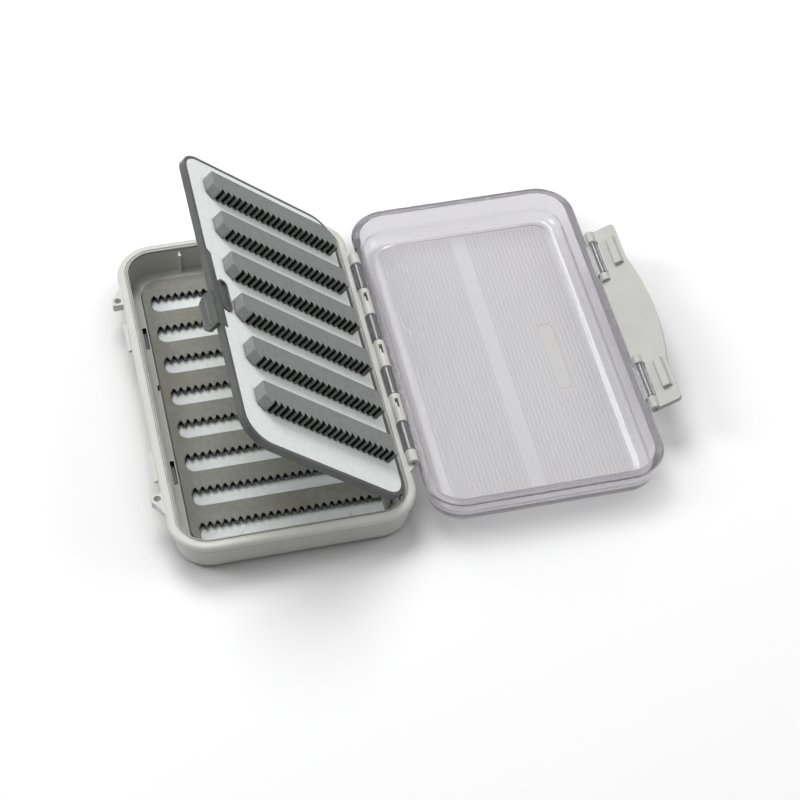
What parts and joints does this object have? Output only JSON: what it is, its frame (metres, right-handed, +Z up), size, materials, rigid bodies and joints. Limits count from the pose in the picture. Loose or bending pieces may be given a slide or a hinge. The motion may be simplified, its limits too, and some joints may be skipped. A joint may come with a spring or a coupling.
{
  "type": "fly box",
  "caption": "Slim two-shell box for fishing flies: foam-lined base, clear hinged lid, swing leaf with slit-foam bars and a full-width latch flap.",
  "frame": {"origin": "centre of the base's underside, on the surface it stands on", "axes": "+X from the base across the hinge towards the open lid, +Y along the hinge away from the front, +Z up"},
  "size_m": [0.2062, 0.155, 0.0692],
  "materials": {
    "base_plastic": "light grey moulded, satin",
    "seal_rubber": "dark grey rubber",
    "white_foam": "white closed-cell foam",
    "grey_foam": "grey closed-cell foam",
    "pin_steel": "bright drawn steel",
    "smoke_plastic": "smoke grey moulded",
    "clear_plastic": "clear moulded, glossy",
    "flap_plastic": "pale grey-green moulded, satin"
  },
  "bodies": {
    "base": {"base_shell": "base_plastic", "seal_ring": "seal_rubber", "base_backing_foam": "white_foam", "base_slit_foam": "grey_foam", "main_hinge_pin": "pin_steel"},
    "leaf": {"leaf_frame": "smoke_plastic", "leaf_backing": "white_foam", "leaf_pivot_pin_far": "pin_steel", "leaf_pivot_pin_near": "pin_steel", "leaf_bar_1": "grey_foam", "leaf_bar_2": "grey_foam", "leaf_bar_3": "grey_foam", "leaf_bar_4": "grey_foam", "leaf_bar_5": "grey_foam", "leaf_bar_6": "grey_foam"},
    "lid": {"lid_shell": "clear_plastic", "latch_pin_far": "pin_steel", "latch_pin_near": "pin_steel"},
    "flap": {"latch_flap": "flap_plastic"}
  },
  "joints": [
    {"name": "lid_hinge", "type": "hinge", "parent": "base", "child": "lid", "pos_m": [0.0474, 0, 0.0151], "axis": [0, -1, 0], "range_deg": [0, 180]},
    {"name": "leaf_swing", "type": "hinge", "parent": "base", "child": "leaf", "pos_m": [0.0388, 0, 0.0126], "axis": [0, -1, 0], "range_deg": [0, 42]},
    {"name": "latch_flap", "type": "hinge", "parent": "lid", "child": "flap", "pos_m": [0.1431, 0, 0.0146], "axis": [0, -1, 0], "range_deg": [0, 65]}
  ],
  "couplings": [
    {"joint": "leaf_swing", "follows": "lid_hinge", "ratio": 0.23333}
  ]
}
